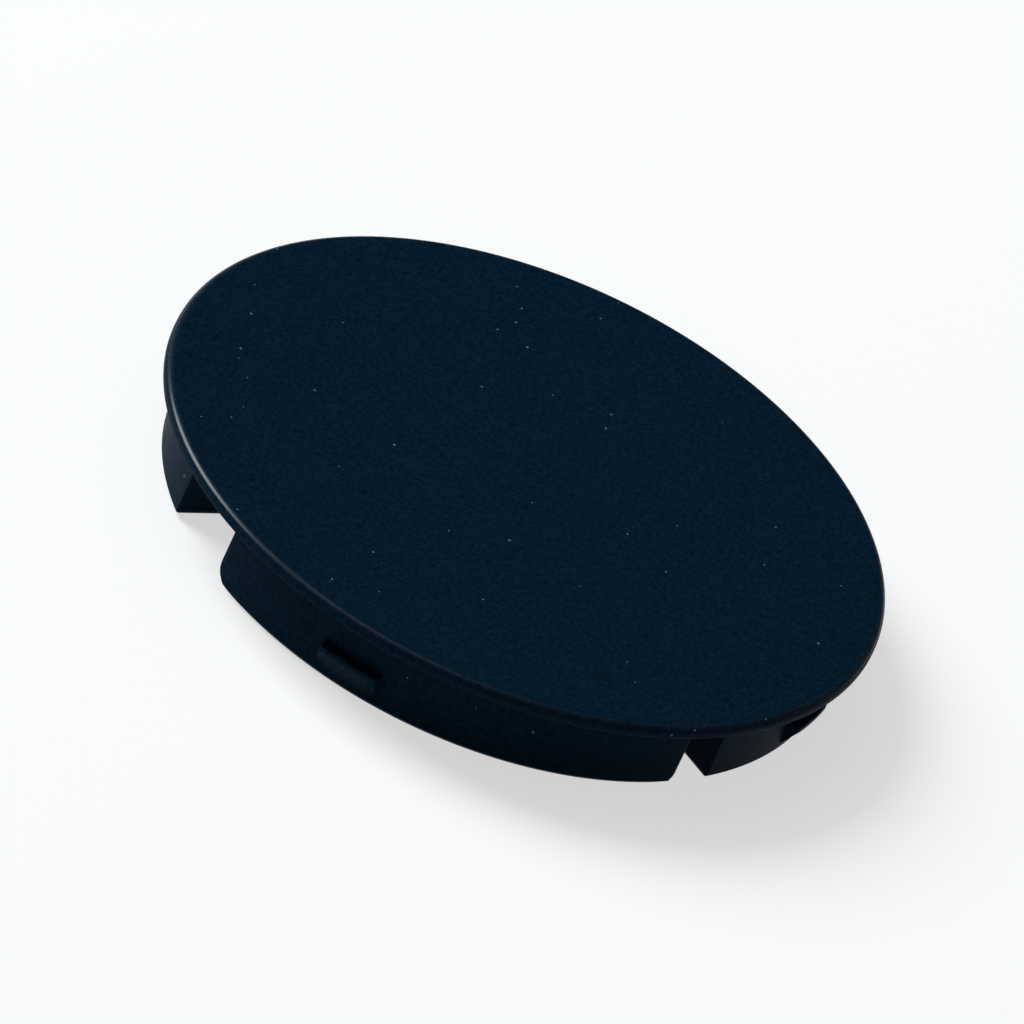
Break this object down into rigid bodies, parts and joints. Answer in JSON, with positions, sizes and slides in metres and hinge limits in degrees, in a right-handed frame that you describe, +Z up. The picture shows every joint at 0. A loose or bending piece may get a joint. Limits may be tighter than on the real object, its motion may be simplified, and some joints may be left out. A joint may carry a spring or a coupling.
{
  "type": "hole plug",
  "caption": "Round snap-in hole plug: a thin flange with a rounded edge over a short slotted skirt, with small wedge barbs that catch behind a panel.",
  "frame": {"origin": "centre of the skirt's foot, the plane the plug stands on, below the middle of its face", "axes": "+Z up through the face, out of the panel; X and Y run through the barbs"},
  "size_m": [0.038, 0.038, 0.0048],
  "materials": {
    "plastic": "fine spark-eroded mould texture, blue-black"
  },
  "bodies": {
    "root": {"hole_plug": "plastic"}
  },
  "joints": []
}
